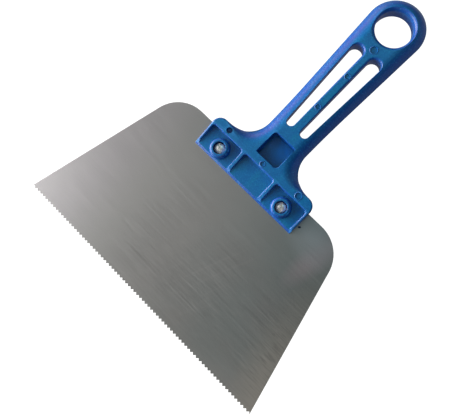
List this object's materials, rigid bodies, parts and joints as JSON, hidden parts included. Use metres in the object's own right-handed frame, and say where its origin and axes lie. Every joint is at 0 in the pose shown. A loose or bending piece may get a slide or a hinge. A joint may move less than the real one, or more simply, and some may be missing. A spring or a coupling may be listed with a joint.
{
  "type": "notched trowel",
  "caption": "Adhesive-spreading trowel: trapezoid spring-steel blade with fine V notches, clamped in the split jaw of a slotted plastic handle with a hang hole.",
  "frame": {"origin": "bottom centre of the bounding box: on the middle plane, half way along the length, level with the rear face of the handle", "axes": "+X along the toothed edge, +Y from the teeth to the hang hole, +Z out of the front face that carries the screw heads"},
  "size_m": [0.18, 0.223, 0.0102],
  "materials": {
    "handle_plastic": "moulded, fine grain, satin",
    "blade_steel": "ground along its length, satin",
    "screw_steel": "bright zinc plate",
    "nut_steel": "bright zinc plate"
  },
  "bodies": {
    "root": {"handle": "handle_plastic", "blade": "blade_steel", "clamp_screw_left": "screw_steel", "clamp_screw_right": "screw_steel", "clamp_nut_left": "nut_steel", "clamp_nut_right": "nut_steel"}
  },
  "joints": []
}
